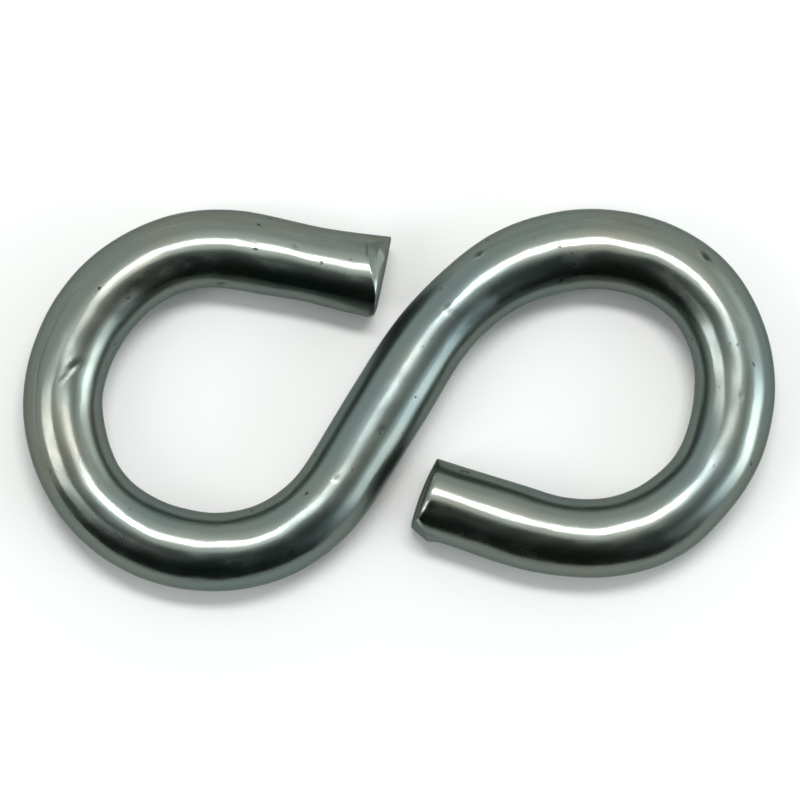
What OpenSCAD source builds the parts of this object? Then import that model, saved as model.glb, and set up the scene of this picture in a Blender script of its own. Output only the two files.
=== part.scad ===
// S hook bent from one length of round wire: two nearly closed hooks joined by a slanting shank.
// It lies flat on its side, with the wire's underside at z = 0, its long axis along X and the
// middle of its outline at x = y = 0. Both hooks turn clockwise as they leave the shank, and
// both ends are left as the shear cut them.

/* [Wire] */
// Diameter of the wire
wire_d = 7.94; // [5:0.01:10]

/* [Shank] */
// Length of the straight run between the two hooks
shank_l = 15.7; // [10:0.1:30]
// Angle between the shank and the long axis
shank_lean = 58; // [45:0.5:75]

/* [Left hook] */
// Inside radius of the bend beside the shank
left_r1 = 11.2; // [8:0.1:16]
// Angle of the bend beside the shank
left_a1 = 162.5; // [150:0.5:175]
// Inside radius of the bend beside the cut end
left_r2 = 11.7; // [8:0.1:14]
// Angle of the bend beside the cut end
left_a2 = 86.5; // [75:0.5:100]
// Gap between the shank and the inner corner of the cut end
left_throat = 1.8; // [0.5:0.1:6]

/* [Right hook] */
// Inside radius of the easy bend that leads out of the shank
right_r1 = 18.5; // [12:0.5:30]
// Angle of the easy bend
right_a1 = 35; // [20:0.5:50]
// Inside radius of the second bend
right_r2 = 13.6; // [10:0.1:18]
// Angle of the second bend
right_a2 = 44; // [30:0.5:55]
// Inside radius of the tight bend at the top
right_r3 = 8.5; // [6:0.1:12]
// Angle of the tight bend
right_a3 = 45; // [35:0.5:55]
// Inside radius of the bend that closes the hook
right_r4 = 11.4; // [9:0.1:14]
// Angle of the bend that closes the hook
right_a4 = 131; // [120:0.5:140]
// Gap between the shank and the inner corner of the cut end
right_throat = 3.1; // [0.5:0.1:6]

/* [Left cut end] */
// Angle by which the shear spread the end outward
left_spread = 4; // [1:0.5:8]
// Length of the spread end
left_spread_l = 6; // [3:0.1:8]
// Radius of the inner corner that the shear drew over
left_roll = 0.8; // [0.2:0.1:2]
// Angle between the shear's bevel and the end face
left_bevel = 42; // [25:1:60]
// Direction in which the bevel looks, turned from outward towards up
left_bevel_turn = 62; // [30:1:90]
// Distance from the wire's axis at which the bevel begins
left_bevel_at = 2; // [1:0.1:2.4]

/* [Right cut end] */
// Radius to which the cut face bulges
right_bulge = 16; // [10:0.5:40]
// Radius of the upper edge that the shear drew over
right_roll = 1; // [0.2:0.1:2]
// Angle between the facet on the outer corner and the end face
right_facet = 57; // [35:1:70]
// Direction in which the facet looks, turned from outward towards up
right_facet_turn = 15; // [0:1:40]
// Distance from the wire's axis at which the facet begins
right_facet_at = 2.9; // [1.5:0.1:3.4]
// Height of the burr pushed up behind the facet
burr_h = 0.25; // [0.1:0.05:0.6]
// Length over which the burr runs out along the wire
burr_l = 2; // [1:0.1:4]
// Width of the burr
burr_w = 1.6; // [0.5:0.1:3]

/* [Hidden] */
$fn = 96;

wire_r = wire_d / 2;
// Every second run of wire is this much slimmer, and its ends lap into its neighbours
slim = 0.01;
lap = 0.3;
// Size of a block that reaches past the wire on every side
past = 4 * wire_d;

// Bends of each hook in order from the shank: [inside radius, angle]
LEFT = [[left_r1, left_a1], [left_r2, left_a2]];
RIGHT = [[right_r1, right_a1], [right_r2, right_a2], [right_r3, right_a3], [right_r4, right_a4]];

// Each hook is drawn in a frame with the middle of the shank at its origin and the shank along
// +X. A pose is [x, y, heading], and a bend turns clockwise about a centre on its right.
function axis_r(bend) = bend[0] + wire_r;
function centre(pose, bend) = [pose[0], pose[1]] + axis_r(bend) * [sin(pose[2]), -cos(pose[2])];
function past_bend(pose, bend) =
    let (c = centre(pose, bend), h = pose[2] - bend[1])
    [c[0] - axis_r(bend) * sin(h), c[1] + axis_r(bend) * cos(h), h];
function pose(bends, i) = i == 0 ? [shank_l / 2, 0, 0] : past_bend(pose(bends, i - 1), bends[i - 1]);

// The straight tail runs on until the inner corner of its end, which lies a little short of the
// tip where the face bulges, is one throat away from the shank
function tail_l(bends, throat, short) =
    let (p = pose(bends, len(bends)))
    (wire_r * cos(p[2]) - p[1] - wire_r - throat) / sin(p[2]) + short;

// Radius of the wire in run i of a hook, counted from the shank, which is itself a slim run
function run_r(i) = wire_r - (i % 2 == 1 ? slim : 0);

// Outermost points of a hook along X and Y once it is turned by an angle: where the outer side
// of a bend runs square to an axis
function outermost(bends, turn) = [
    for (i = [0 : len(bends) - 1])
        let (p = pose(bends, i), c = centre(p, bends[i]), top = p[2] + 90 + turn)
        for (k = [ceil((top - bends[i][1]) / 90) : floor(top / 90)])
            [c[0] * cos(turn) - c[1] * sin(turn), c[0] * sin(turn) + c[1] * cos(turn)]
                + (axis_r(bends[i]) + run_r(i)) * [cos(90 * k), sin(90 * k)]
];
outline = concat(outermost(RIGHT, shank_lean), outermost(LEFT, shank_lean + 180));
xs = [for (p = outline) p[0]];
ys = [for (p = outline) p[1]];
middle = [min(xs) + max(xs), min(ys) + max(ys)] / 2;

module at(pose) {
    translate([pose[0], pose[1], 0])
        rotate(pose[2])
            children();
}

// Round bar from the origin along +X
module bar(r, l) {
    rotate([0, 90, 0])
        cylinder(r = r, h = l);
}

// Curved bar that leaves the origin along +X and turns clockwise, longer at both ends by over
module curved_bar(r, axis_r, angle, over) {
    translate([0, -axis_r, 0])
        rotate(90 - angle - over)
            rotate_extrude(angle = angle + 2 * over)
                translate([axis_r, 0])
                    circle(r = r);
}

module bends(bends) {
    for (i = [0 : len(bends) - 1])
        at(pose(bends, i))
            curved_bar(run_r(i), axis_r(bends[i]), bends[i][1],
                       i % 2 == 1 ? lap / axis_r(bends[i]) * 180 / PI : 0);
}

// Room beyond a slanting plane across the end at x = l. The plane leaves the end face at a
// distance from the axis and leans back by an angle, towards a side turned up from +Y.
module beyond_slant(l, angle, turn, start) {
    translate([l, 0, 0])
        rotate([turn, 0, 0])
            translate([0, start, 0])
                rotate(angle)
                    translate([0, -past / 2, -past / 2])
                        cube(past);
}

// Room outside a rolled-over edge of the end at x = l, on the side turned up from +Y
module beyond_roll(l, r, turn) {
    rotate([turn, 0, 0])
        translate([l - r, wire_r - r, -past / 2])
            difference() {
                cube(past);
                cylinder(r = r, h = past);
            }
}

// Tail whose end is spread outward, rolled over on the inside and bevelled on top
module left_tail() {
    l = tail_l(LEFT, left_throat, 0);
    difference() {
        union() {
            bar(wire_r, l);
            translate([l - left_spread_l, 0, 0])
                rotate(left_spread)
                    bar(wire_r - slim, left_spread_l + wire_r);
        }
        translate([l, -past / 2, -past / 2])
            cube(past);
        beyond_roll(l, left_roll, 180);
        beyond_slant(l, left_bevel, left_bevel_turn, left_bevel_at);
    }
}

// Tail whose end bulges, with its upper edge rolled over, a facet across its outer corner and
// the burr that the facet pushed up behind itself
module right_tail() {
    l = tail_l(RIGHT, right_throat, right_bulge - sqrt(pow(right_bulge, 2) - pow(wire_r, 2)));
    facet_l = (wire_r + burr_h - right_facet_at) * tan(right_facet);
    difference() {
        union() {
            bar(wire_r, l);
            translate([l - facet_l - burr_l, 0, -burr_w / 2])
                linear_extrude(burr_w)
                    polygon([[0, wire_r - burr_h], [burr_l + facet_l, wire_r - burr_h],
                             [burr_l + facet_l, wire_r + burr_h], [burr_l, wire_r + burr_h]]);
        }
        translate([l - right_bulge, 0, -past / 2])
            difference() {
                translate([0, -past / 2, 0])
                    cube(past);
                cylinder(r = right_bulge, h = past);
            }
        beyond_roll(l, right_roll, 90);
        beyond_slant(l, right_facet, right_facet_turn, right_facet_at);
    }
}

module hook() {
    color("silver")
        translate([-middle[0], -middle[1], wire_r])
            rotate(shank_lean) {
                translate([-shank_l / 2 - lap, 0, 0])
                    bar(wire_r - slim, shank_l + 2 * lap);
                bends(RIGHT);
                at(pose(RIGHT, len(RIGHT)))
                    right_tail();
                rotate(180) {
                    bends(LEFT);
                    at(pose(LEFT, len(LEFT)))
                        left_tail();
                }
            }
}

hook();
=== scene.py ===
"""Dresses an S hook: one length of plated wire, bent into two nearly closed hooks and sheared at
both ends, lying on the floor of a small studio. All lengths are in metres."""

from math import cos, pi, radians, sin, tan
from typing import NamedTuple

import bpy
import numpy as np
from bpy.props import FloatProperty, FloatVectorProperty, PointerProperty
from mathutils import Matrix, Vector


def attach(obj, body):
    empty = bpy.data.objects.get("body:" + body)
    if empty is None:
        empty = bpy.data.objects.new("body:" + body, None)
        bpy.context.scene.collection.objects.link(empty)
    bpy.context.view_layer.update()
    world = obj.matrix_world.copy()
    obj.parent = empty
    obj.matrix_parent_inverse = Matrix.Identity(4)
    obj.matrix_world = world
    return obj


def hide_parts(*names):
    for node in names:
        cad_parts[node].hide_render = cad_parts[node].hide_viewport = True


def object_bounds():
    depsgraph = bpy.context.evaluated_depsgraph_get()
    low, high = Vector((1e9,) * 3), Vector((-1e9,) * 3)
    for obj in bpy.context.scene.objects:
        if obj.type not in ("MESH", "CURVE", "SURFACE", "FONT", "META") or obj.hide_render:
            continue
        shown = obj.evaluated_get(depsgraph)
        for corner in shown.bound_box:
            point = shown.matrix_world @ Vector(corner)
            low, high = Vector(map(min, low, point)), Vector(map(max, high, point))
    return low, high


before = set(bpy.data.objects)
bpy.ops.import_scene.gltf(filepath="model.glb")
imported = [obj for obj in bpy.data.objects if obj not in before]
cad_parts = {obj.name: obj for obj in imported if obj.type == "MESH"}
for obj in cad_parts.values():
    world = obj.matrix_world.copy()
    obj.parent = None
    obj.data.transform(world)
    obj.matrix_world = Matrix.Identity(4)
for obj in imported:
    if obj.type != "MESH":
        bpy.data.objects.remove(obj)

bl_info = {
    "name": "S Hook",
    "version": (1, 0, 0),
    "blender": (4, 5, 0),
    "location": "3D Viewport > Sidebar > S Hook",
    "description": "Builds a plated wire S hook with sheared ends, and the studio it lies in",
    "category": "Object",
}

MM = 0.001
CAD_LOW, CAD_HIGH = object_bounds()


# Properties ------------------------------------------------------------------------------------

def length(name, description, default, **more):
    """A length in metres, given in millimetres."""
    return FloatProperty(name=name, description=description, default=default * MM, min=0,
                         unit="LENGTH", precision=5, **more)


def angle(name, description, default):
    """An angle in radians, given in degrees."""
    return FloatProperty(name=name, description=description, default=radians(default),
                         subtype="ANGLE", unit="ROTATION")


def colour(name, description, default):
    """A colour as linear red, green and blue."""
    return FloatVectorProperty(name=name, description=description, default=default, size=3,
                               min=0, max=1, subtype="COLOR")


def number(name, description, default, **more):
    """A plain number from 0 up."""
    return FloatProperty(name=name, description=description, default=default, min=0, **more)


class WireSizes(bpy.types.PropertyGroup):
    """The run of the wire, from the left end to the right one. Radii are inside radii."""

    wire_d: length("Wire Diameter", "Thickness of the wire", (CAD_HIGH.z - CAD_LOW.z) / MM)
    left_tail: length("Left Tail", "Straight run at the left end", 13.8)
    left_r2: length("Left End Bend", "Inside radius of the bend beside the left tail", 11.7)
    left_a2: angle("Left End Bend Angle", "Angle of the bend beside the left tail", 90.5)
    left_r1: length("Left Shank Bend", "Inside radius of the left bend beside the shank", 11.1)
    left_a1: angle("Left Shank Bend Angle", "Angle of the left bend beside the shank", 159.5)
    shank_l: length("Shank", "Straight run between the two hooks", 14.5)
    shank_lean: angle("Shank Lean", "Angle between the shank and the long axis", 58.5)
    right_r1: length("Easy Bend", "Inside radius of the bend that leads out of the shank", 23)
    right_a1: angle("Easy Bend Angle", "Angle of the easy bend", 22.5)
    right_r2: length("Second Bend", "Inside radius of the right hook's second bend", 14)
    right_a2: angle("Second Bend Angle", "Angle of the second bend", 55.5)
    right_r3: length("Tight Bend", "Inside radius of the bend at the top right", 8.3)
    right_a3: angle("Tight Bend Angle", "Angle of the tight bend", 43.5)
    right_r4: length("Closing Bend", "Inside radius of the bend that closes the right hook", 11.3)
    right_a4: angle("Closing Bend Angle", "Angle of the closing bend", 135)
    right_tail: length("Right Tail", "Straight run at the right end", 12.6)
    ease: length("Ease", "Length over which one bend flows into the next", 5)


class EndSizes(bpy.types.PropertyGroup):
    """The two sheared ends."""

    flare: length("Flare", "Growth of the left end's outer side", 0.33)
    flare_l: length("Flare Length", "Length over which the left end grows", 6)
    left_lean: length("Left Lean", "Depth by which the left face's top lies back", 0.36)
    left_slant: length("Left Slant", "Depth by which the left face's inner side lies back", 0.05)
    left_roll: length("Left Roll", "Radius of the left end's inner corner", 0.8)
    bevel_l: length("Bevel Length", "Length of the left end's bevel", 1.62)
    bevel_h: length("Bevel Drop", "Height of the left end's bevel", 0.85)
    bevel_turn: angle("Bevel Turn", "Side of the left bevel, from outward towards up", 47)
    bevel_flat: number("Bevel Flatness", "How far the left bevel is flat and not rolled", 0.75, max=1)
    right_lean: length("Right Lean", "Depth by which the right face's top lies back", 0.25)
    right_slant: length("Right Slant", "Depth by which the right face's inner side lies back", 0.37)
    bulge_r: length("Bulge", "Radius to which the right face bulges", 25)
    right_roll: length("Right Roll", "Radius of the right end's upper edge", 0.65)
    facet_angle: angle("Facet Angle", "Angle between the right facet and the face", 58)
    facet_turn: angle("Facet Turn", "Side of the right facet, from outward towards up", 14)
    facet_at: length("Facet Distance", "Distance from the axis at which the facet begins", 2.73)
    crisp: length("Crisp Edge", "Radius of the edges that the shear left sharp", 0.09)


class PlatingLook(bpy.types.PropertyGroup):
    """Colour and surface of the zinc plating, and the painted shade on the wire's flanks."""

    zinc: colour("Zinc", "Main colour of the plating", (0.316, 0.35, 0.324))
    zinc_blue: colour("Blue Zinc", "Colour where the passivation is thin", (0.285, 0.344, 0.343))
    zinc_warm: colour("Warm Zinc", "Colour where the passivation is thick", (0.344, 0.35, 0.309))
    # Painted shade: the share of its colour that the plating keeps on the flanks, darkening them as if
    # shaded; not a colour of the zinc itself
    painted_flank_shade: colour("Flank", "Share of its colour that the plating keeps on the wire's flanks",
                  (0.515, 0.532, 0.515))
    soot: colour("Stain", "Colour of the stain in pits and on the cuts", (0.085, 0.094, 0.085))
    grime_depth: length("Grime Depth", "Depth at which a mark is dark with grime", 0.08)
    rim: colour("Rim", "Share of the light that the plating keeps at grazing angles", (0.48, 0.51, 0.5))
    brush: number("Brush", "How far the drawn lines stretch a highlight along the wire", 0.76, max=1)
    gloss: number("Gloss Roughness", "Roughness of the bright plating", 0.215)
    haze: number("Haze Roughness", "Roughness of the hazy patches", 0.3)
    dull: number("Flank Dullness", "Roughness that the wire's flanks have more than its top", 0.13)
    peel_size: length("Peel Size", "Size of the plating's fine unevenness", 0.7)
    peel_depth: length("Peel Depth", "Depth of the plating's fine unevenness", 0.008)
    line_gap: length("Line Spacing", "Spacing of the lines left by the drawing die", 0.16)
    line_depth: length("Line Depth", "Depth of the lines left by the drawing die", 0.0008)


class StudioSettings(bpy.types.PropertyGroup):
    """Floor, lamps, card, sky and camera."""

    floor: colour("Floor", "Colour of the paper floor", (0.93, 0.925, 0.925))
    floor_side: length("Floor Side", "Side of the square floor", 9000)
    sky: colour("Sky", "Colour of the soft light all round", (0.53, 0.58, 0.55))
    horizon: colour("Horizon", "Colour of the backdrop just over the floor's far edge",
                    (0.615, 0.665, 0.64))
    reach: length("Lamp Distance", "Distance from the hook to the lamps", 1300)
    lamp_glow: number("Lamp Brightness", "Radiance of the oval lamp overhead", 25)
    left_glow: number("Left Softbox Brightness", "Radiance of the left softbox", 3.1)
    right_glow: number("Right Softbox Brightness", "Radiance of the right softbox", 2.05)
    card: colour("Card", "Colour of the dark card beside the camera", (0.007, 0.013, 0.009))
    lens: FloatProperty(name="Lens", description="Focal length of the camera in millimetres",
                        default=200, min=20)
    picture_w: length("Picture Width", "Width of the picture at the height of the axis", 80.6)
    look_x: FloatProperty(name="Look X", description="Camera's place along the hook",
                          default=0.1 * MM, unit="LENGTH", precision=5)
    look_y: FloatProperty(name="Look Y", description="Camera's place across the hook",
                          default=0, unit="LENGTH", precision=5)


# Run of the wire -------------------------------------------------------------------------------

class Swell(NamedTuple):
    """A place where bending made the wire thicker or thinner, or set it to its left: its distance
    from the left end, its reach, the half width gained and the shift, all in millimetres."""
    along: float
    spread: float
    grow: float
    shift: float


SWELLS = (
    Swell(7.5, 3.2, -0.17, 0),          # neck behind the flared end
    Swell(21.0, 5.0, -0.13, -0.12),     # start of the left hook
    Swell(33.0, 6.0, 0.035, 0.14),      # corner of the left hook
    Swell(51.5, 4.5, -0.12, -0.12),     # side of the left hook
    Swell(63.0, 4.5, 0, 0.16),          # bottom of the left hook
    Swell(76.0, 10.0, -0.08, 0),        # end of the left hook and start of the shank
    Swell(101.5, 5.5, -0.28, 0),        # easy bend, nipped by the bending tool
    Swell(117.0, 9.0, 0.03, 0),         # top of the right hook
    Swell(132.0, 3.0, -0.06, 0),        # end of the tight bend
    Swell(141.5, 4.5, 0.05, -0.14),     # side of the right hook
    Swell(150.0, 3.0, -0.13, 0),        # lower side of the right hook
    Swell(156.0, 3.5, 0.05, 0.16),      # bottom of the right hook
    Swell(165.0, 3.5, -0.04, -0.11),    # end of the closing bend
    Swell(171.5, 4.0, 0.09, 0),         # start of the right tail
)


class Mark(NamedTuple):
    """A dent, nick or gouge, in millimetres and degrees. Its place is along the wire and round it
    from the left side over the top, its length runs at a turn from the wire, and a negative depth
    is a lump."""
    along: float
    around: float
    length: float
    width: float
    depth: float
    turn: float


MARKS = {
    "gouge across the left hook": Mark(37.4, 78, 1.0, 0.34, 0.065, 34),
    "gouge's lower stroke": Mark(39.0, 90, 0.8, 0.18, 0.05, 30),
    "nick on the left highlight": Mark(14.9, 100, 0.22, 0.14, 0.025, 70),
    "long nick on the left highlight": Mark(13.5, 104, 0.6, 0.16, 0.014, 5),
    "nick above the left tail": Mark(9.3, 111, 0.3, 0.16, 0.06, 40),
    "bright nick inside the left hook": Mark(16.5, 26, 0.6, 0.25, 0.1, -25),
    "crease along the bevel": Mark(2.15, 127, 0.7, 0.12, 0.07, 79),
    "nick below the shank": Mark(80.6, 82, 0.3, 0.2, 0.06, 60),
    "mark on the shank": Mark(87.1, 101, 0.3, 0.22, 0.05, 0),
    "nick across the easy bend": Mark(100.7, 86, 0.7, 0.12, 0.03, 75),
    "pit at the easy bend": Mark(101.0, 75, 0.25, 0.2, 0.08, 0),
    "pit on the second bend": Mark(106.4, 44, 0.35, 0.3, 0.1, 20),
    "pit on the closing bend": Mark(127.1, 47, 0.45, 0.35, 0.14, 40),
    "mark on the right side": Mark(140.3, 84, 0.25, 0.18, 0.05, 0),
    "burr behind the facet": Mark(178.75, 4, 0.85, 0.8, -0.3, 0),
    "scuff on the right tail": Mark(174.9, 78, 1.4, 0.12, 0.03, 4),
    "dent under the right tail": Mark(179.2, 78, 0.7, 0.3, 0.05, 10),
}
LIP_HEIGHT = 0.15    # height of the two lips beside a mark, in its depths
LIP_PLACE = 1.9      # distance of a lip from the mark's middle, in the mark's widths
LIP_SPREAD = 0.5     # spread of a lip, in the mark's widths
GROOVE_POWER = 1.6   # 2 would make a mark's section a Gaussian, and less makes it more pointed

STEP = 0.02 * MM     # step in which the centreline is added up
EASE_ROOM = 4        # how far it is drawn past both ends of the wire, in ease lengths
SHANK = 3            # place of the shank in the list of runs
WAVE_TURNS = 5       # most turns that a wave of unevenness makes round the wire


def runs(sizes):
    """Lengths and turns of the straight runs and bends in order. A bend's length is its angle
    times the radius of its centreline; the left hook turns left and the right hook turns right."""
    radius = sizes.wire_d / 2
    bends = [(sizes.left_r2, sizes.left_a2), (sizes.left_r1, sizes.left_a1), None,
             (sizes.right_r1, -sizes.right_a1), (sizes.right_r2, -sizes.right_a2),
             (sizes.right_r3, -sizes.right_a3), (sizes.right_r4, -sizes.right_a4)]
    lengths = [sizes.shank_l if b is None else abs(b[1]) * (b[0] + radius) for b in bends]
    turns = [0 if b is None else b[1] for b in bends]
    return [sizes.left_tail, *lengths, sizes.right_tail], [0, *turns, 0]


class Run:
    """The wire's centreline. The heading at a place is the turn of every bend before it, averaged
    over the ease length around the place; the line is the sum of short steps along the heading."""

    def __init__(self, sizes):
        lengths, turns = runs(sizes)
        ends = np.concatenate([[0], np.cumsum(lengths)])
        turned = np.concatenate([[0], np.cumsum(turns)])
        self.length = ends[-1]
        self.s = np.arange(-EASE_ROOM * sizes.ease, self.length + EASE_ROOM * sizes.ease, STEP)
        swept = np.cumsum(np.interp(self.s, ends, turned)) * STEP
        before = np.interp(self.s - sizes.ease / 2, self.s, swept)
        after = np.interp(self.s + sizes.ease / 2, self.s, swept)
        start = sizes.shank_lean - turned[SHANK]
        self.heading = start + (after - before) / sizes.ease
        self.x = np.cumsum(np.cos(self.heading)) * STEP
        self.y = np.cumsum(np.sin(self.heading)) * STEP

    def place(self, along, left, up):
        """Points at distances along the wire, to the left of its centreline and above it."""
        x, y, heading = (np.interp(along, self.s, v) for v in (self.x, self.y, self.heading))
        return np.stack([x - left * np.sin(heading), y + left * np.cos(heading), up], -1)


def swelling(along):
    """Growth of the wire's half width, and its shift to the left: sums of Gaussian lumps."""
    at, spread, grow, shift = np.array(SWELLS).T
    lump = np.exp(-((along[..., None] / MM - at) / spread) ** 2) * MM
    return (grow * lump).sum(-1), (shift * lump).sum(-1)


def waves(along, around, seed, count, shortest, longest, slope):
    """Slight unevenness: a sum of waves with random lengths, turns round the wire and phases,
    whose heights are set so that all have the same slope."""
    rng = np.random.default_rng(seed)
    wave_l = np.exp(rng.uniform(np.log(shortest), np.log(longest), count))
    turns = rng.integers(-WAVE_TURNS, WAVE_TURNS + 1, count)
    phase = rng.uniform(0, 2 * pi, count)
    height = slope * wave_l / (2 * pi)
    return (height * np.sin(2 * pi * along[..., None] / wave_l + turns * around[..., None]
                            + phase)).sum(-1)


def marked(along, around, radius):
    """Height of the marks. Each sinks as a groove, a Gaussian along its length times a more
    pointed one across it, between two low lips."""
    height = np.zeros(np.broadcast(along, around).shape)
    for mark in MARKS.values():
        a = along / MM - mark.along
        b = (np.mod(around - radians(mark.around) + pi, 2 * pi) - pi) * radius / MM
        turn = radians(mark.turn)
        lengthwise = (a * cos(turn) + b * sin(turn)) / mark.length
        across = np.abs(b * cos(turn) - a * sin(turn)) / mark.width
        window = np.exp(-lengthwise ** 2)
        lip = np.exp(-((across - LIP_PLACE) / LIP_SPREAD) ** 2)
        height += mark.depth * window * (LIP_HEIGHT * lip - np.exp(-across ** GROOVE_POWER))
    return height * MM


# Ends ------------------------------------------------------------------------------------------

def softmin(a, b, blend):
    """The lower of two heights, with the crease between them rounded over a width."""
    return (a + b - np.sqrt((a - b) ** 2 + blend ** 2)) / 2


def slant(outer, up, slope, turn, start):
    """Height of a plane that leans back from a distance off the axis, towards a turned side."""
    return (start - outer * cos(turn) - up * sin(turn)) * tan(slope)


def leaning(up, lean, radius):
    """How far a face that leans back reaches: 0 at its foot, falling with the square of height."""
    return -lean * np.maximum((up / radius + 1) / 2, 0) ** 2


def left_face(outer, up, ends, radius):
    """How far the left end reaches: a slanting face that leans back."""
    return leaning(up, ends.left_lean, radius) + ends.left_slant * (outer / radius - 1) / 2


def right_face(outer, up, ends, radius):
    """How far the right end reaches: a ball-shaped bulge that leans back, cut by the facet."""
    dome = np.sqrt(ends.bulge_r ** 2 - outer ** 2 - up ** 2) - ends.bulge_r
    dome = dome + leaning(up, ends.right_lean, radius)
    dome = dome + ends.right_slant * (outer / radius - 1) / 2
    facet = slant(outer, up, ends.facet_angle, ends.facet_turn, ends.facet_at)
    return softmin(dome, facet, ends.crisp)


def side_share(around, at, fade):
    """1 on the side of the wire at an angle, falling to 0 over a fade, as a raised cosine."""
    away = np.abs(np.mod(around - at + pi, 2 * pi) - pi)
    return 0.5 + 0.5 * np.cos(np.clip(away / fade, 0, 1) * pi)


class Wire:
    """The wire's surface as a grid: rings of rows along it and columns round it. The rows of an
    end are rings that shrink over its rim and then across its face, down to a point."""

    COLUMNS = 128
    TUBE_ROWS = 640
    RIM_ROWS = 14
    FACE_ROWS = 36
    SAMPLES = 4000                # samples from which the places of the tube's rows are read
    END_CROWD = (3, 1.6)          # reach in mm of the closer rows near an end, and how much closer
    GOUGE_CROWD = (38, 2, 1.4)    # the same for the gouge, after its place in mm

    TRIM = 5 * MM                 # length of tube whose rows shift to meet an end's rim
    LOW = 0.045 * MM              # how much the section's half height falls short of a circle's
    WIDE = 0.03 * MM              # how much its half width is more than a circle's
    INNER_FLARE = 0.4             # share of the flare that the left end's inner side gets
    CORNER_ROUNDS = 3             # rounds in which the corner of tube and face is found

    BEVEL_TOP_FADE = radians(80)    # how far the left bevel fades out over the top
    BEVEL_SIDE_FADE = radians(45)   # how far it fades out down the outer side
    BEVEL_DROP_POWER = 0.7          # below 1, its height fades later than its length
    BEVEL_FLAT_POWER = 0.3          # below 1, its flatness fades later still
    CORNER_FADE = 1.1               # radians over which the left inner corner's roll fades out
    UPPER_EDGE = 1.75               # radians from the left side to the right end's upper corner
    UPPER_FADE = 1.75               # radians over which that corner's roll fades out

    def __init__(self, sizes, ends):
        self.ends = ends
        self.radius = sizes.wire_d / 2
        self.run = Run(sizes)
        self.around = np.arange(self.COLUMNS) * 2 * pi / self.COLUMNS

    def section(self, along, around):
        """Left and up from the axis of the surface at an angle: a circle that bending made a
        hair wide and low, widened by the swells and the flare, with marks and waves added to
        its radius."""
        grow, shift = swelling(along)
        side = self.radius + self.WIDE + grow
        reach = np.maximum(1 - along / self.ends.flare_l, 0) ** 2
        side = side + self.ends.flare * reach * np.where(np.cos(around) < 0, 1, self.INNER_FLARE)
        off = marked(along, around, self.radius)
        off = off + waves(along, around, seed=7, count=20, shortest=3 * MM, longest=14 * MM,
                          slope=0.003)
        left = (side + off) * np.cos(around) + shift
        up = (self.radius - self.LOW + off) * np.sin(around)
        return left, up

    def rows(self):
        """Places of the tube's rows: even, but closer together near both ends and the gouge,
        by a Gaussian each."""
        s = np.linspace(0, self.run.length, self.SAMPLES)
        crowd = np.ones_like(s)
        ends = [(0, *self.END_CROWD), (self.run.length / MM, *self.END_CROWD)]
        for at, reach, extra in (*ends, self.GOUGE_CROWD):
            crowd += extra * np.exp(-((s / MM - at) / reach) ** 2)
        share = np.cumsum(crowd)
        share = (share - share[0]) / (share[-1] - share[0])
        return np.interp(np.linspace(0, 1, self.TUBE_ROWS), share, s)

    def end(self, face, roll, drop, outward, flat=0):
        """One end: where its rim starts on the tube, and its rows from there to the middle of
        the face, as (along, left, up). Outward is -1 at the left end and 1 at the right one. The
        rim is a quadratic Bezier curve from the tube, a roll's length before the corner, to the
        face, a drop inside the corner, which is its control point; flat blends it into the
        straight line between the two. From there every column runs straight to the middle."""
        tip = 0 if outward < 0 else self.run.length

        def faced(left, up):
            return tip + outward * face(outward * left, up, self.ends, self.radius)

        along = np.full(self.COLUMNS, tip)
        for _ in range(self.CORNER_ROUNDS):
            left, up = self.section(along, self.around)
            along = faced(left, up)
        start = along - outward * roll
        start_left, start_up = self.section(start, self.around)
        inner = 1 - drop / self.radius
        t = np.linspace(0, 1, self.RIM_ROWS + 1)[1:, None]

        def rim_curve(a, b, c):
            rolled = (1 - t) ** 2 * a + 2 * t * (1 - t) * b + t ** 2 * c
            return rolled * (1 - flat) + (a + (c - a) * t) * flat

        rim = [rim_curve(start, along, faced(left * inner, up * inner)),
               rim_curve(start_left, left, left * inner),
               rim_curve(start_up, up, up * inner)]
        share = np.linspace(1, 0, self.FACE_ROWS + 1)[1:, None] * inner
        middle = [faced(left * share, up * share), left * share, up * share]
        return start, [np.concatenate([a, b]) for a, b in zip(rim, middle)]

    def grid(self):
        """Rows of the whole wire as (along, left, up), from the middle of one face to the middle
        of the other. The tube's rows shift towards its ends to meet the rims."""
        ends = self.ends
        bevel_at = pi - ends.bevel_turn
        bevel = side_share(self.around, bevel_at, np.where(
            self.around < bevel_at, self.BEVEL_TOP_FADE, self.BEVEL_SIDE_FADE))
        corner = ends.crisp + side_share(self.around, 0, self.CORNER_FADE) * ends.left_roll
        left_start, left_end = self.end(
            left_face, outward=-1,
            roll=corner + bevel * ends.bevel_l,
            drop=corner + bevel ** self.BEVEL_DROP_POWER * ends.bevel_h,
            flat=bevel ** self.BEVEL_FLAT_POWER * ends.bevel_flat)
        upper = side_share(self.around, self.UPPER_EDGE, self.UPPER_FADE)
        right_roll = ends.crisp + ends.right_roll * upper
        right_start, right_end = self.end(right_face, right_roll, right_roll, outward=1)
        s = self.rows()[:, None]
        along = (s + np.clip(1 - s / self.TRIM, 0, 1) * left_start
                 + np.clip(1 - (self.run.length - s) / self.TRIM, 0, 1)
                 * (right_start - self.run.length))
        left, up = self.section(along, self.around)
        parts = zip(left_end, (along, left, up), right_end)
        return [np.concatenate([a[::-1], b, c]) for a, b, c in parts]

    def grime(self, along, left, up, full_depth):
        """Grime in the marks: their depth as a share of the depth that is full of it, up to 1."""
        depth = -marked(along, np.arctan2(up, left), self.radius)
        return np.clip(depth / full_depth, 0, 1)

    def cut_rows(self):
        """Rows of polygons that look sheared, at either end: the face and half of its rim."""
        return self.FACE_ROWS + self.RIM_ROWS // 2


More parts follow.
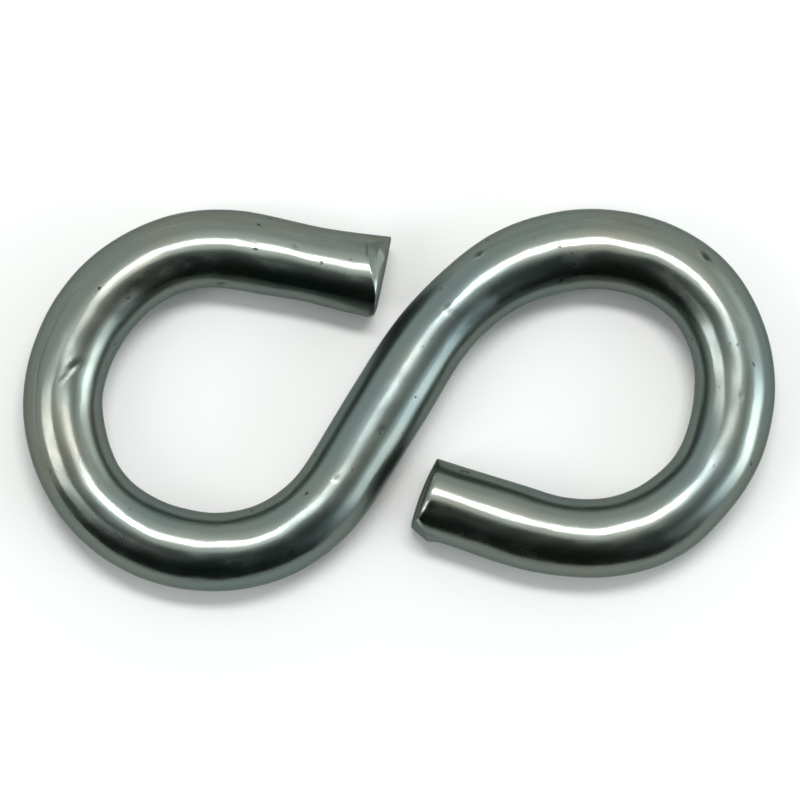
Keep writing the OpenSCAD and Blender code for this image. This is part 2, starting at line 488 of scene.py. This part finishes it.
def centred(points):
    """The points moved so that their box is centred over the origin and stands on the floor."""
    low, high = points.min((0, 1)), points.max((0, 1))
    return points - [(low[0] + high[0]) / 2, (low[1] + high[1]) / 2, low[2]]


END_ROWS = 60    # rows at either end that take the wire's direction from further in


def lengthwise(points):
    """Direction of the wire at each point: from the middle of the row before to the middle of
    the row after, except near the ends."""
    middle = points.mean(1)
    inner = slice(END_ROWS, len(middle) - END_ROWS)
    step = np.gradient(middle, axis=0)[inner]
    first, last = step[:1].repeat(END_ROWS, 0), step[-1:].repeat(END_ROWS, 0)
    step = np.concatenate([first, step, last])
    step /= np.linalg.norm(step, axis=1, keepdims=True)
    return np.broadcast_to(step[:, None], points.shape)


def closed_tube(name, points, straight, grime):
    """A mesh from a grid that closes round its columns and whose first and last rows are points.
    It has quads between its rows and a fan of triangles at either end, and it keeps each point's
    place on the straight wire, the wire's direction and the grime there."""
    rows, columns = points.shape[:2]

    def flatten(grid):
        return np.concatenate([grid[:1, 0], grid[1:-1].reshape(-1, grid.shape[-1]), grid[-1:, 0]])

    index = np.arange((rows - 2) * columns).reshape(rows - 2, columns) + 1
    beside = np.roll(index, -1, 1)
    quads = np.stack([index[:-1], index[1:], beside[1:], beside[:-1]], -1).reshape(-1, 4)
    first = np.stack([np.zeros(columns, int), index[0], beside[0]], -1)
    last = np.stack([np.full(columns, index[-1, -1] + 1), beside[-1], index[-1]], -1)
    mesh = bpy.data.meshes.new(name)
    faces = [*first.tolist(), *quads.tolist(), *last.tolist()]
    mesh.from_pydata(flatten(points), [], faces)
    for label, vectors in (("straight", straight), ("lengthwise", lengthwise(points))):
        attribute = mesh.attributes.new(label, "FLOAT_VECTOR", "POINT")
        attribute.data.foreach_set("vector", flatten(vectors).astype(np.float32).ravel())
    attribute = mesh.attributes.new("grime", "FLOAT", "POINT")
    attribute.data.foreach_set("value", flatten(grime[..., None]).astype(np.float32).ravel())
    mesh.shade_smooth()
    return mesh


# Node helpers ----------------------------------------------------------------------------------

def node(tree, kind, **values):
    """A new node. A value named after one of the node's own settings sets it. Any other is for
    an input, by its name with underscores for spaces or as i and its number: it sets the input
    or, if it is a socket, is linked to it."""
    made = tree.nodes.new(kind)
    for key in [k for k in values if hasattr(made, k)]:
        setattr(made, key, values.pop(key))
    for key, value in values.items():
        name = key.replace("_", " ")
        socket = made.inputs[int(key[1:])] if key[1:].isdigit() else made.inputs[name]
        if isinstance(value, bpy.types.NodeSocket):
            tree.links.new(value, socket)
        else:
            socket.default_value = value
    return made


def maths(tree, operation, *values):
    """Output of a Math node."""
    inputs = {f"i{k}": v for k, v in enumerate(values)}
    return node(tree, "ShaderNodeMath", operation=operation, **inputs).outputs[0]


def ramp(tree, value, low, high):
    """Output of a Map Range node that rises smoothly between two values."""
    return node(tree, "ShaderNodeMapRange", interpolation_type="SMOOTHSTEP", Value=value,
                From_Min=low, From_Max=high, To_Min=0.0, To_Max=1.0).outputs[0]


def mixed(tree, share, a, b):
    """Output of a Mix node for colours."""
    made = tree.nodes.new("ShaderNodeMix")
    made.data_type = "RGBA"
    for socket, value in ((made.inputs[0], share), (made.inputs[6], a), (made.inputs[7], b)):
        if isinstance(value, bpy.types.NodeSocket):
            tree.links.new(value, socket)
        elif socket == made.inputs[0]:
            socket.default_value = value
        else:
            socket.default_value = (*value, 1)
    return made.outputs[2]


def noise(tree, place, scale, detail=2.0, roughness=0.5):
    """Output of a Noise Texture whose features are a metre over its scale."""
    return node(tree, "ShaderNodeTexNoise", Vector=place, Scale=scale, Detail=detail,
                Roughness=roughness).outputs[0]


def group(name, inputs, outputs):
    """An empty node group with float or vector inputs and float outputs."""
    tree = bpy.data.node_groups.new(name, "ShaderNodeTree")
    for label, default in inputs.items():
        kind = "NodeSocketVector" if default is None else "NodeSocketFloat"
        socket = tree.interface.new_socket(name=label, in_out="INPUT", socket_type=kind)
        if default is not None:
            socket.default_value = default
    for label in outputs:
        tree.interface.new_socket(name=label, in_out="OUTPUT", socket_type="NodeSocketFloat")
    return tree, tree.nodes.new("NodeGroupInput").outputs, tree.nodes.new("NodeGroupOutput").inputs


def stretched(tree, place, along):
    """The place with its distance along the wire shrunk, so that patterns draw out along it."""
    return node(tree, "ShaderNodeVectorMath", operation="MULTIPLY", i0=place,
                i1=(along, 1, 1)).outputs[0]


# Effects ---------------------------------------------------------------------------------------

def peel_group():
    """Fine unevenness of the plating: three sizes of noise, the coarse one strongest, all drawn
    out along the wire."""
    coarse_scale, coarse_share = 0.38, 1.7
    fine_scale, fine_share = 2.3, 0.12
    tree, take, give = group("plating_peel", {"Place": None, "Scale": 2000.0}, ["Height"])
    place, scale = stretched(tree, take["Place"], along=0.3), take["Scale"]
    middle = noise(tree, place, scale, detail=1.0)
    coarse = noise(tree, place, maths(tree, "MULTIPLY", scale, coarse_scale), detail=1.0)
    fine = noise(tree, place, maths(tree, "MULTIPLY", scale, fine_scale), detail=1.0)
    height = maths(tree, "MULTIPLY_ADD", coarse, coarse_share, middle)
    height = maths(tree, "MULTIPLY_ADD", fine, fine_share, height)
    tree.links.new(height, give["Height"])
    return tree


def lines_group():
    """Lines that the drawing die left along the wire: noise drawn far out along it."""
    tree, take, give = group("drawn_lines", {"Place": None, "Scale": 8000.0}, ["Height"])
    place = stretched(tree, take["Place"], along=0.02)
    fine = noise(tree, place, take["Scale"], detail=3.0, roughness=0.65)
    tree.links.new(fine, give["Height"])
    return tree


def bloom_group():
    """Cloudy changes of the plating: Haze where it is dull, Tint from thin to thick, and Speck
    for small dark stains."""
    tree, take, give = group("plating_bloom", {"Place": None}, ["Haze", "Tint", "Speck"])
    place = stretched(tree, take["Place"], along=0.55)
    cloud = ramp(tree, noise(tree, place, scale=320.0), low=0.3, high=0.7)
    small = ramp(tree, noise(tree, place, scale=700.0), low=0.34, high=0.7)
    tree.links.new(maths(tree, "MULTIPLY", cloud, small), give["Haze"])
    tree.links.new(noise(tree, place, scale=130.0), give["Tint"])
    speck = ramp(tree, noise(tree, take["Place"], scale=900.0), low=0.7, high=0.78)
    tree.links.new(speck, give["Speck"])
    return tree


class Finish(NamedTuple):
    """What sets the plating of the drawn wire apart from that of the sheared faces."""
    flank_top: float     # height above or below the axis up to which the flanks, with their painted shade, reach, in radii
    dull: float          # roughness that it has more than the bright plating
    line_depth: float    # depth of its lines, in depths of the die's lines
    line_height: float   # scale of its lines in height; a small one draws them out upright


DRAWN = Finish(flank_top=0.8, dull=0, line_depth=1, line_height=1)
SHEARED = Finish(flank_top=0.64, dull=0.12, line_depth=6, line_height=0.03)
SHEARED_BRUSH = 0.2      # how far a highlight stretches on the sheared faces
FLANK_FADE = 0.13        # height over which the painted shade on the flanks fades out, in radii
GRIME_STRENGTH = 0.85    # share of the stain's colour in a mark that is full of grime


def plating_colour(tree, look, bloom, painted_flank_shade):
    """The plating's colour: zinc, tinted by its thickness, stained in specks and marks, and
    darkened on the flanks by painted shade, times the share that the flanks keep."""
    tint = bloom.outputs["Tint"]
    zinc = mixed(tree, ramp(tree, tint, low=0.5, high=0.32), look.zinc, look.zinc_blue)
    zinc = mixed(tree, ramp(tree, tint, low=0.54, high=0.7), zinc, look.zinc_warm)
    zinc = mixed(tree, bloom.outputs["Speck"], zinc, look.soot)
    grime = node(tree, "ShaderNodeAttribute", attribute_name="grime").outputs["Fac"]
    zinc = mixed(tree, maths(tree, "MULTIPLY", grime, GRIME_STRENGTH), zinc, look.soot)
    # Painted shade: the colour is multiplied down on the flanks
    painted_shade = mixed(tree, painted_flank_shade, (1, 1, 1), look.painted_flank_shade)
    return node(tree, "ShaderNodeVectorMath", operation="MULTIPLY", i0=zinc, i1=painted_shade).outputs[0]


def plating_bump(tree, look, groups, finish, place):
    """The plating's normal: the lines of the die or the shear, over the fine peel."""
    peel = node(tree, "ShaderNodeGroup", node_tree=groups["peel"], Place=place,
                Scale=1 / look.peel_size).outputs[0]
    bump = node(tree, "ShaderNodeBump", Height=peel, Distance=look.peel_depth)
    if finish.line_height != 1:
        place = node(tree, "ShaderNodeVectorMath", operation="MULTIPLY", i0=place,
                     i1=(1, 1, finish.line_height)).outputs[0]
    lines = node(tree, "ShaderNodeGroup", node_tree=groups["lines"], Place=place,
                 Scale=1 / look.line_gap).outputs[0]
    return node(tree, "ShaderNodeBump", Height=lines, Normal=bump.outputs[0],
                Distance=look.line_depth * finish.line_depth).outputs[0]


def plated(name, look, groups, radius, finish, brush):
    """Zinc plating. Its patterns lie on the straight wire. The flanks, where the surface is not
    far above or below the axis, are duller, and their colour is darkened there as painted shade."""
    material = bpy.data.materials.new(name)
    material.use_nodes = True
    tree = material.node_tree
    shader = tree.nodes["Principled BSDF"]
    place = node(tree, "ShaderNodeAttribute", attribute_name="straight").outputs["Vector"]
    bloom = node(tree, "ShaderNodeGroup", node_tree=groups["bloom"], Place=place)
    height = maths(tree, "ABSOLUTE", node(tree, "ShaderNodeSeparateXYZ", Vector=place).outputs["Z"])
    # Mask of the flanks: it sets where the painted shade darkens the colour, and adds roughness there
    painted_flank_shade = ramp(tree, height, finish.flank_top * radius, (finish.flank_top - FLANK_FADE) * radius)
    tree.links.new(plating_colour(tree, look, bloom, painted_flank_shade), shader.inputs["Base Color"])
    shader.inputs["Metallic"].default_value = 1
    shader.inputs["Specular Tint"].default_value = (*look.rim, 1)
    shader.inputs["Anisotropic"].default_value = brush
    tangent = node(tree, "ShaderNodeAttribute", attribute_name="lengthwise").outputs["Vector"]
    tree.links.new(tangent, shader.inputs["Tangent"])
    haze = maths(tree, "MULTIPLY_ADD", bloom.outputs["Haze"], look.haze - look.gloss,
                 look.gloss + finish.dull)
    haze = maths(tree, "MULTIPLY_ADD", painted_flank_shade, look.dull, haze)
    tree.links.new(haze, shader.inputs["Roughness"])
    normal = plating_bump(tree, look, groups, finish, place)
    tree.links.new(normal, shader.inputs["Normal"])
    return material


# Studio ----------------------------------------------------------------------------------------

def towards(azimuth, zenith):
    """Direction at an azimuth from +X and an angle from straight up."""
    a, z = radians(azimuth), radians(zenith)
    return Vector((cos(a) * sin(z), sin(a) * sin(z), cos(z)))


def paint(name, base, roughness):
    """A plain matt material."""
    material = bpy.data.materials.new(name)
    material.use_nodes = True
    shader = material.node_tree.nodes["Principled BSDF"]
    shader.inputs["Base Color"].default_value = (*base, 1)
    shader.inputs["Roughness"].default_value = roughness
    shader.inputs["Specular IOR Level"].default_value = 0
    return material


def staged(name, points, faces, material):
    """A mesh that belongs to the studio and not to the hook."""
    mesh = bpy.data.meshes.new(name)
    mesh.from_pydata(points, [], faces)
    mesh.materials.append(material)
    made = bpy.data.objects.new(name, mesh)
    bpy.context.scene.collection.objects.link(made)
    return made


class Lamp(NamedTuple):
    """An area lamp: its place, and its width, which runs down from the zenith, and height, all in
    degrees as the hook sees them, its outline, and the setting that holds its radiance."""
    azimuth: float
    zenith: float
    wide: float
    tall: float
    shape: str
    glow: str


LAMPS = {
    "lamp_overhead": Lamp(80, 21, 9, 30, "ELLIPSE", "lamp_glow"),
    "softbox_left": Lamp(195, 46, 30, 20, "RECTANGLE", "left_glow"),
    "softbox_right": Lamp(346, 70, 33, 26, "RECTANGLE", "right_glow"),
}


def hang_lamp(name, studio, lamp):
    """A lamp that faces the hook. Its power is its radiance times pi times its area."""
    light = bpy.data.lights.new(name, "AREA")
    light.shape = lamp.shape
    light.size = 2 * studio.reach * tan(radians(lamp.wide) / 2)
    light.size_y = 2 * studio.reach * tan(radians(lamp.tall) / 2)
    area = light.size * light.size_y * (pi / 4 if lamp.shape == "ELLIPSE" else 1)
    light.energy = getattr(studio, lamp.glow) * pi * area
    out = towards(lamp.azimuth, lamp.zenith)
    down = towards(lamp.azimuth, lamp.zenith + 90)
    made = bpy.data.objects.new(name, light)
    axes = Matrix((down, out.cross(down), out)).transposed()
    made.matrix_world = Matrix.Translation(out * studio.reach) @ axes.to_4x4()
    made.visible_camera = False
    bpy.context.scene.collection.objects.link(made)


class Tone(NamedTuple):
    """A round patch of sky: degrees to its middle, to where it starts to fade and to its rim."""
    azimuth: float
    zenith: float
    inner: float
    outer: float
    colour: tuple


SKY_TONES = {
    "dark wall low on the left": Tone(166, 112, 4, 42, (0.04, 0.07, 0.07)),
    "dark gap beside the lamp": Tone(17, 27, 8, 18, (0.02, 0.06, 0.04)),
    "pale wall low on the right": Tone(20, 77, 1, 23, (0.96, 1.05, 1.02)),
    "cool window behind the right softbox": Tone(338, 66, 1, 30, (1.3, 1.56, 1.62)),
    "glow round the lamp": Tone(75, 23, 10, 42, (0.93, 0.95, 0.9)),
}


# Degrees over the horizon where the horizon's colour starts to show, and where it is full
HORIZON_TOP, HORIZON_FULL = 6, 2.4


def hang_sky(studio):
    """Soft light all round: one tone, blended into others around a few directions, and into the
    horizon's colour low down, where the sine of a height is close to the height in radians."""
    world = bpy.data.worlds.new("sky")
    bpy.context.scene.world = world
    world.use_nodes = True
    tree = world.node_tree
    direction = node(tree, "ShaderNodeTexCoord").outputs["Generated"]
    tone = tuple(studio.sky)
    for patch in SKY_TONES.values():
        facing = node(tree, "ShaderNodeVectorMath", operation="DOT_PRODUCT", i0=direction,
                      i1=towards(patch.azimuth, patch.zenith)).outputs["Value"]
        share = ramp(tree, facing, cos(radians(patch.outer)), cos(radians(patch.inner)))
        tone = mixed(tree, share, tone, patch.colour)
    height = node(tree, "ShaderNodeSeparateXYZ", Vector=direction).outputs["Z"]
    low = ramp(tree, height, radians(HORIZON_TOP), radians(HORIZON_FULL))
    tone = mixed(tree, low, tone, studio.horizon)
    tree.links.new(tone, tree.nodes["Background"].inputs["Color"])


CARD_AZIMUTHS = (206, 323, 40)     # the card's two sides in degrees, and the points across it
CARD_ZENITHS = (0.3, 89.5, 32)     # its top and foot from straight up, and the points down it
CARD_REACH = 0.97                  # its distance, as a share of the lamps'


def hang_card(name, studio):
    """A dark card, unseen by the camera: a patch of a ball round the hook."""
    azimuth = np.radians(np.linspace(*CARD_AZIMUTHS))[None]
    zenith = np.radians(np.linspace(*CARD_ZENITHS))[:, None]
    ball = np.stack([np.cos(azimuth) * np.sin(zenith), np.sin(azimuth) * np.sin(zenith),
                     np.cos(zenith) + 0 * azimuth], -1) * studio.reach * CARD_REACH
    index = np.arange(ball[..., 0].size).reshape(ball.shape[:2])
    faces = np.stack([index[:-1, :-1], index[1:, :-1], index[1:, 1:], index[:-1, 1:]], -1)
    card = staged(name, ball.reshape(-1, 3), faces.reshape(-1, 4).tolist(),
                  paint(name + "_felt", studio.card, 1.0))
    card.visible_camera = False


CLIP_RANGE = 10    # how far the camera sees, in its own heights over the hook


def aim_camera(studio, axis_height):
    """A camera that looks straight down. Its height over the wire's axis is the picture's width
    times the lens over the width of the sensor."""
    data = bpy.data.cameras.new("camera")
    data.lens = studio.lens
    camera = bpy.data.objects.new("camera", data)
    above = studio.picture_w * studio.lens / data.sensor_width
    camera.location = (studio.look_x, studio.look_y, axis_height + above)
    data.clip_end = CLIP_RANGE * above
    bpy.context.scene.collection.objects.link(camera)
    bpy.context.scene.camera = camera


# Operators, panel and registration --------------------------------------------------------------

class OBJECT_OT_s_hook_wire(bpy.types.Operator):
    """Build the bent and plated wire with its two sheared ends"""

    bl_idname = "object.s_hook_wire"
    bl_label = "Build Hook Wire"
    bl_options = {"REGISTER", "UNDO"}

    def execute(self, context):
        scene = context.scene
        look = scene.s_hook_look
        wire = Wire(scene.s_hook_sizes, scene.s_hook_ends)
        straight = wire.grid()
        grime = wire.grime(*straight, look.grime_depth)
        points = centred(wire.run.place(*straight))
        mesh = closed_tube("hook_wire", points, np.stack(straight, -1), grime)
        groups = {"peel": peel_group(), "lines": lines_group(), "bloom": bloom_group()}
        mesh.materials.append(
            plated("plated_wire", look, groups, wire.radius, DRAWN, look.brush))
        mesh.materials.append(
            plated("plated_cut", look, groups, wire.radius, SHEARED, SHEARED_BRUSH))
        cut = np.zeros(len(mesh.polygons), np.int32)
        cut_faces = wire.cut_rows() * wire.COLUMNS
        if len(cut) <= cut_faces * 2:
            raise RuntimeError("the wire's grid has no rows between its ends")
        cut[:cut_faces] = 1
        cut[-cut_faces:] = 1
        mesh.polygons.foreach_set("material_index", cut)
        hook = bpy.data.objects.new("hook_wire", mesh)
        scene.collection.objects.link(hook)
        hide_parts("hook")
        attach(hook, "root")
        return {"FINISHED"}


class SCENE_OT_s_hook_studio(bpy.types.Operator):
    """Set up the floor, sky, lamps, dark card and camera"""

    bl_idname = "scene.s_hook_studio"
    bl_label = "Set Up Studio"
    bl_options = {"REGISTER", "UNDO"}

    def execute(self, context):
        scene = context.scene
        studio = scene.s_hook_studio
        half = studio.floor_side / 2
        corners = [(-half, -half, 0), (half, -half, 0), (half, half, 0), (-half, half, 0)]
        staged("floor", corners, [(0, 1, 2, 3)], paint("floor_paper", studio.floor, 1.0))
        hang_sky(studio)
        hang_card("dark_card", studio)
        for name, lamp in LAMPS.items():
            hang_lamp(name, studio, lamp)
        aim_camera(studio, scene.s_hook_sizes.wire_d / 2)
        scene.view_settings.view_transform = "Standard"
        return {"FINISHED"}


class VIEW3D_PT_s_hook(bpy.types.Panel):
    """List each step's button and settings"""

    bl_label = "S Hook"
    bl_idname = "VIEW3D_PT_s_hook"
    bl_space_type = "VIEW_3D"
    bl_region_type = "UI"
    bl_category = "S Hook"

    def draw(self, context):
        for operator, groups in STEPS.items():
            self.layout.operator(operator)
            for group_name in groups:
                settings = getattr(context.scene, group_name)
                for key in settings.bl_rna.properties.keys():
                    if key not in {"rna_type", "name"}:
                        self.layout.prop(settings, key)


SETTINGS = {
    "s_hook_sizes": WireSizes,
    "s_hook_ends": EndSizes,
    "s_hook_look": PlatingLook,
    "s_hook_studio": StudioSettings,
}
STEPS = {
    "object.s_hook_wire": ("s_hook_sizes", "s_hook_ends", "s_hook_look"),
    "scene.s_hook_studio": ("s_hook_studio",),
}
CLASSES = (*SETTINGS.values(), OBJECT_OT_s_hook_wire, SCENE_OT_s_hook_studio, VIEW3D_PT_s_hook)


def register():
    """Register the classes and give every scene its settings."""
    for cls in CLASSES:
        bpy.utils.register_class(cls)
    for name, cls in SETTINGS.items():
        setattr(bpy.types.Scene, name, PointerProperty(type=cls))


def unregister():
    """Take back what register did."""
    for name in SETTINGS:
        delattr(bpy.types.Scene, name)
    for cls in reversed(CLASSES):
        bpy.utils.unregister_class(cls)


def main():
    """Build the hook and its studio."""
    register()
    bpy.ops.object.s_hook_wire()
    bpy.ops.scene.s_hook_studio()


if __name__ == "__main__":
    main()
